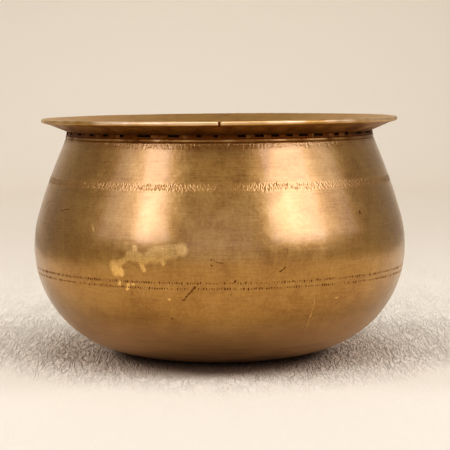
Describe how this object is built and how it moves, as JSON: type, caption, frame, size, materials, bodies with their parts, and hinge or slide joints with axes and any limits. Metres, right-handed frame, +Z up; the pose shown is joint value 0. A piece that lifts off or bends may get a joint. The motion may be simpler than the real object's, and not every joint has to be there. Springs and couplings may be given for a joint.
{
  "type": "lipped bowl",
  "caption": "Deep round-bellied brass bowl with a flat base, a narrowed neck and a wide flared lip, for cooking, serving or floating flowers.",
  "frame": {"origin": "centre of the flat that the bowl stands on", "axes": "+Z up along the turning axis, through the centre of the mouth"},
  "size_m": [0.3556, 0.3556, 0.2248],
  "materials": {
    "body_brass": "aged satin, beaten and scraped, mottled brown patina",
    "collar_brass": "aged satin, turned, dark in the corner under the lip",
    "spelter": "pale hard solder, rough, filed where it is on show"
  },
  "bodies": {
    "root": {"lower_bowl": "body_brass", "shoulder_shell": "body_brass", "belly_seam_spelter": "spelter", "neck_seam_spelter": "spelter", "rim_collar": "collar_brass"}
  },
  "joints": []
}
